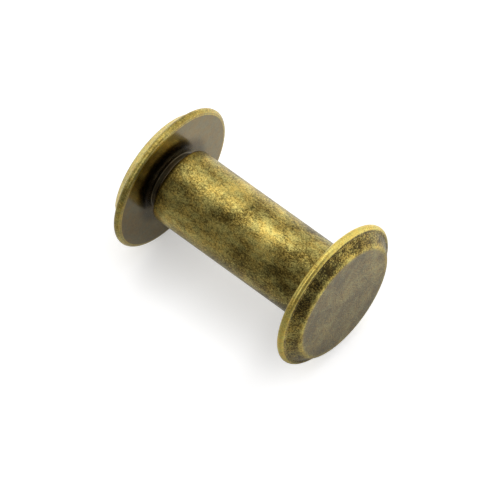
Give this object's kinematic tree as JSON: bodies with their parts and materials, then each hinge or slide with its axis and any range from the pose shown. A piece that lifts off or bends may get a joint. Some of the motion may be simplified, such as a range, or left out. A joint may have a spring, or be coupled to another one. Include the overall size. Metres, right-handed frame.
{
  "type": "chicago screw",
  "caption": "Binding screw of a flat-headed barrel post with a blind threaded bore and a slotted flat-headed screw, which clamp sheets between their heads.",
  "frame": {"origin": "centre of the post head's outer face, which the part stands on", "axes": "+Z along the common axis of post and screw, from the post's head to the screw's head; +X along the driver slot"},
  "size_m": [0.01, 0.01, 0.0151],
  "materials": {
    "antique_brass": "antiqued: dark brown patina rubbed back to bright brass on edges and crests, satin to half gloss"
  },
  "bodies": {
    "post": {"barrel_post": "antique_brass"},
    "screw": {"slotted_screw": "antique_brass"}
  },
  "joints": [
    {"name": "screw_travel", "type": "slide", "parent": "post", "child": "screw", "axis": [0, 0, 1], "range_m": [-0.0005, 0.0075]}
  ]
}
